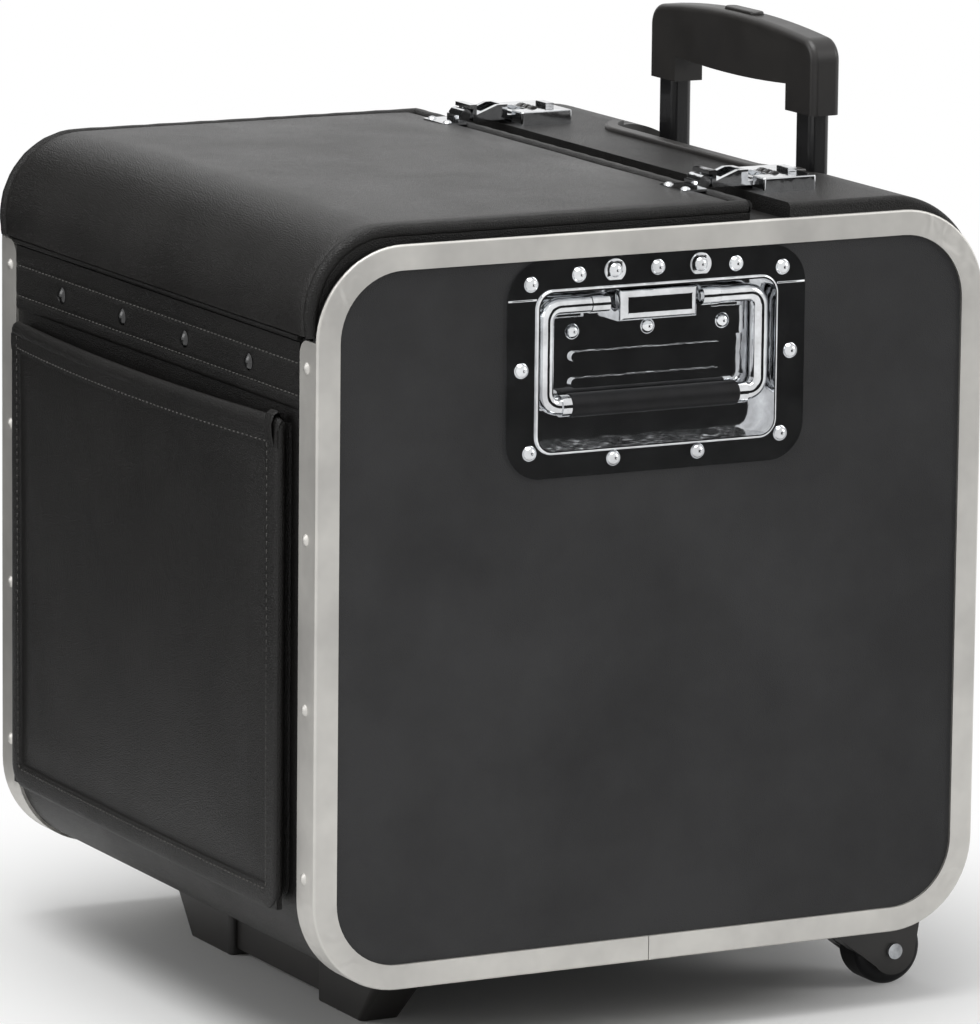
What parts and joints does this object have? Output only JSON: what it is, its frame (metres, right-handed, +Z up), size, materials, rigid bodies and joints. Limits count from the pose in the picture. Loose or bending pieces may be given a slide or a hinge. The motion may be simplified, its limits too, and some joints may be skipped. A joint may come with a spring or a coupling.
{
  "type": "rolling pilot case",
  "caption": "Cube-like rolling pilot case with aluminium end frames, hinged padded lid, combination locks, front pocket, recessed end handles, trolley handle, wheels and feet.",
  "frame": {"origin": "on the floor, under the middle of the overall length and width", "axes": "+X along the lid hinge towards the right end, +Y from the pocket front to the trolley rear, +Z up"},
  "size_m": [0.3906, 0.4026, 0.5041],
  "materials": {
    "black_vinyl": "grained vinyl, satin",
    "end_vinyl": "fine matte vinyl",
    "aluminium": "satin anodised",
    "chrome": "bright plated",
    "black_rivet": "black painted",
    "black_tube": "black powder coat",
    "black_plastic": "moulded, satin",
    "rubber": "matte",
    "lining": "felt",
    "steel": "zinc plated"
  },
  "bodies": {
    "case": {"front_wall": "black_vinyl", "rear_wall": "black_vinyl", "bottom_panel": "black_vinyl", "rear_top_deck": "black_vinyl", "end_panel_right": "end_vinyl", "end_panel_left": "end_vinyl", "frame_right": "aluminium", "frame_left": "aluminium", "frame_rivets": "aluminium", "hinge_strip": "black_vinyl", "hinge_strip_rivets": "black_rivet", "trolley_tray": "black_plastic", "trolley_outer_tube_right": "black_tube", "trolley_outer_tube_left": "black_tube", "trolley_base": "steel", "trolley_cover": "lining", "floor_board": "lining", "pocket_panel": "black_vinyl", "pocket_binding": "black_vinyl", "pocket_gusset": "black_vinyl", "handle_dish_right": "chrome", "handle_dish_left": "chrome", "handle_rivets": "chrome", "handle_bracket_right": "chrome", "handle_bracket_left": "chrome", "handle_springs": "chrome", "lock_case_right": "chrome", "lock_case_left": "chrome", "lock_pins": "chrome", "wheel_housing_right": "black_plastic", "wheel_housing_left": "black_plastic", "wheel_axles": "steel", "foot_stand": "black_plastic", "base_screws": "steel"},
    "lid": {"lid_panel": "black_vinyl", "lid_binding": "black_vinyl", "lid_catches": "chrome"},
    "trolley_middle": {"trolley_middle_tube_right": "black_tube", "trolley_middle_tube_left": "black_tube"},
    "trolley_top": {"trolley_inner_tube_right": "black_tube", "trolley_inner_tube_left": "black_tube", "trolley_grip": "black_plastic"},
    "trolley_button": {"trolley_button": "black_plastic"},
    "bail_right": {"handle_bail_right": "chrome", "handle_sleeve_right": "rubber"},
    "hasp_right": {"lock_hasp_right": "chrome"},
    "slider_right": {"lock_slider_right": "chrome"},
    "dial_1_right": {"lock_dial_1_right": "black_plastic"},
    "dial_2_right": {"lock_dial_2_right": "black_plastic"},
    "dial_3_right": {"lock_dial_3_right": "black_plastic"},
    "wheel_right": {"wheel_right": "rubber"},
    "bail_left": {"handle_bail_left": "chrome", "handle_sleeve_left": "rubber"},
    "hasp_left": {"lock_hasp_left": "chrome"},
    "slider_left": {"lock_slider_left": "chrome"},
    "dial_1_left": {"lock_dial_1_left": "black_plastic"},
    "dial_2_left": {"lock_dial_2_left": "black_plastic"},
    "dial_3_left": {"lock_dial_3_left": "black_plastic"},
    "wheel_left": {"wheel_left": "rubber"}
  },
  "joints": [
    {"name": "lid_hinge", "type": "hinge", "parent": "case", "child": "lid", "pos_m": [0, -0.18515, 0.3755], "axis": [1, 0, 0], "range_deg": [0, 115]},
    {"name": "trolley_lower_stage", "type": "slide", "parent": "case", "child": "trolley_middle", "axis": [0, 0, 1], "range_m": [0, 0.25]},
    {"name": "trolley_upper_stage", "type": "slide", "parent": "trolley_middle", "child": "trolley_top", "axis": [0, 0, 1], "range_m": [-0.046, 0.21]},
    {"name": "trolley_button_press", "type": "slide", "parent": "trolley_top", "child": "trolley_button", "axis": [0, 0, -1], "range_m": [0, 0.003], "stiffness_N_per_m": 400, "springref_m": -0.002},
    {"name": "bail_right_swing", "type": "hinge", "parent": "case", "child": "bail_right", "pos_m": [0.1874, 0.00725, 0.385], "axis": [0, -1, 0], "range_deg": [0, 90], "stiffness_Nm_per_rad": 0.12, "springref_deg": -28.65},
    {"name": "hasp_right_lift", "type": "hinge", "parent": "case", "child": "hasp_right", "pos_m": [0.134, 0.09375, 0.4336], "axis": [-1, 0, 0], "range_deg": [0, 90]},
    {"name": "slider_right_push", "type": "slide", "parent": "case", "child": "slider_right", "axis": [1, 0, 0], "range_m": [0, 0.005], "stiffness_N_per_m": 60, "springref_m": -0.002},
    {"name": "dial_1_right_turn", "type": "hinge", "parent": "case", "child": "dial_1_right", "pos_m": [0.128, 0.10325, 0.4347], "axis": [1, 0, 0], "continuous": true},
    {"name": "dial_2_right_turn", "type": "hinge", "parent": "case", "child": "dial_2_right", "pos_m": [0.134, 0.10325, 0.4347], "axis": [1, 0, 0], "continuous": true},
    {"name": "dial_3_right_turn", "type": "hinge", "parent": "case", "child": "dial_3_right", "pos_m": [0.14, 0.10325, 0.4347], "axis": [1, 0, 0], "continuous": true},
    {"name": "wheel_right_roll", "type": "hinge", "parent": "case", "child": "wheel_right", "pos_m": [0.14, 0.17575, 0.0195], "axis": [1, 0, 0], "continuous": true},
    {"name": "bail_left_swing", "type": "hinge", "parent": "case", "child": "bail_left", "pos_m": [-0.1874, 0.00725, 0.385], "axis": [0, 1, 0], "range_deg": [0, 90], "stiffness_Nm_per_rad": 0.12, "springref_deg": -28.65},
    {"name": "hasp_left_lift", "type": "hinge", "parent": "case", "child": "hasp_left", "pos_m": [-0.134, 0.09375, 0.4336], "axis": [-1, 0, 0], "range_deg": [0, 90]},
    {"name": "slider_left_push", "type": "slide", "parent": "case", "child": "slider_left", "axis": [-1, 0, 0], "range_m": [0, 0.005], "stiffness_N_per_m": 60, "springref_m": -0.002},
    {"name": "dial_1_left_turn", "type": "hinge", "parent": "case", "child": "dial_1_left", "pos_m": [-0.128, 0.10325, 0.4347], "axis": [1, 0, 0], "continuous": true},
    {"name": "dial_2_left_turn", "type": "hinge", "parent": "case", "child": "dial_2_left", "pos_m": [-0.134, 0.10325, 0.4347], "axis": [1, 0, 0], "continuous": true},
    {"name": "dial_3_left_turn", "type": "hinge", "parent": "case", "child": "dial_3_left", "pos_m": [-0.14, 0.10325, 0.4347], "axis": [1, 0, 0], "continuous": true},
    {"name": "wheel_left_roll", "type": "hinge", "parent": "case", "child": "wheel_left", "pos_m": [-0.14, 0.17575, 0.0195], "axis": [1, 0, 0], "continuous": true}
  ]
}
